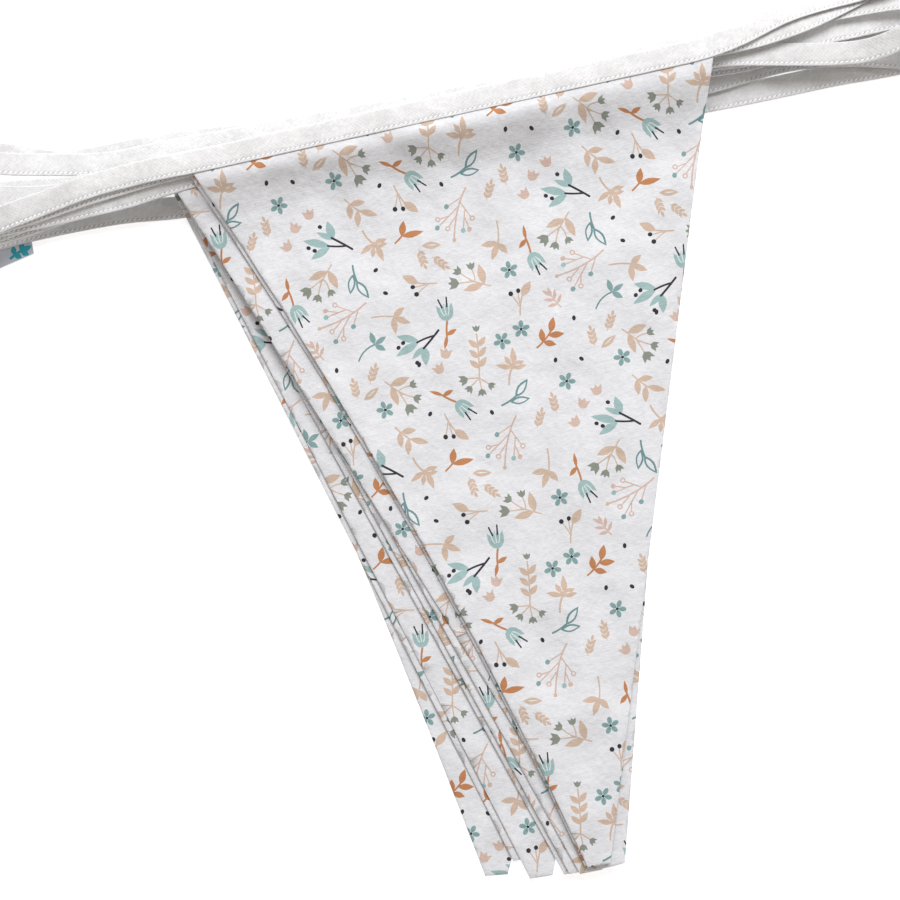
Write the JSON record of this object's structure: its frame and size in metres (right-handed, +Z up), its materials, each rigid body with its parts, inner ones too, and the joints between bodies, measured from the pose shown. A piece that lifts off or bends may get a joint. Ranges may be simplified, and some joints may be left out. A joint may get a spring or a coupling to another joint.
{
  "type": "fabric bunting",
  "caption": "Folded fabric bunting: printed triangular cotton pennants stacked on one white bias tape that runs back and forth between them, lying flat.",
  "frame": {"origin": "on the surface that the bunting rests on, under the middle of the folded fan", "axes": "+X along the top layer's tape, +Y from the pennants' tips to the tape, +Z up from the surface"},
  "size_m": [0.4232, 0.3332, 0.0253],
  "materials": {
    "printed_cotton": "matt plain-weave cotton with a small floral print",
    "tape_cotton": "matt white bias-cut cotton",
    "label_satin": "soft sheen woven label"
  },
  "bodies": {
    "root": {"pennant_1": "printed_cotton", "pennant_2": "printed_cotton", "pennant_3": "printed_cotton", "pennant_4": "printed_cotton", "pennant_5": "printed_cotton", "pennant_6": "printed_cotton", "pennant_7": "printed_cotton", "pennant_8": "printed_cotton", "pennant_9": "printed_cotton", "bias_tape": "tape_cotton", "label": "label_satin"}
  },
  "joints": []
}
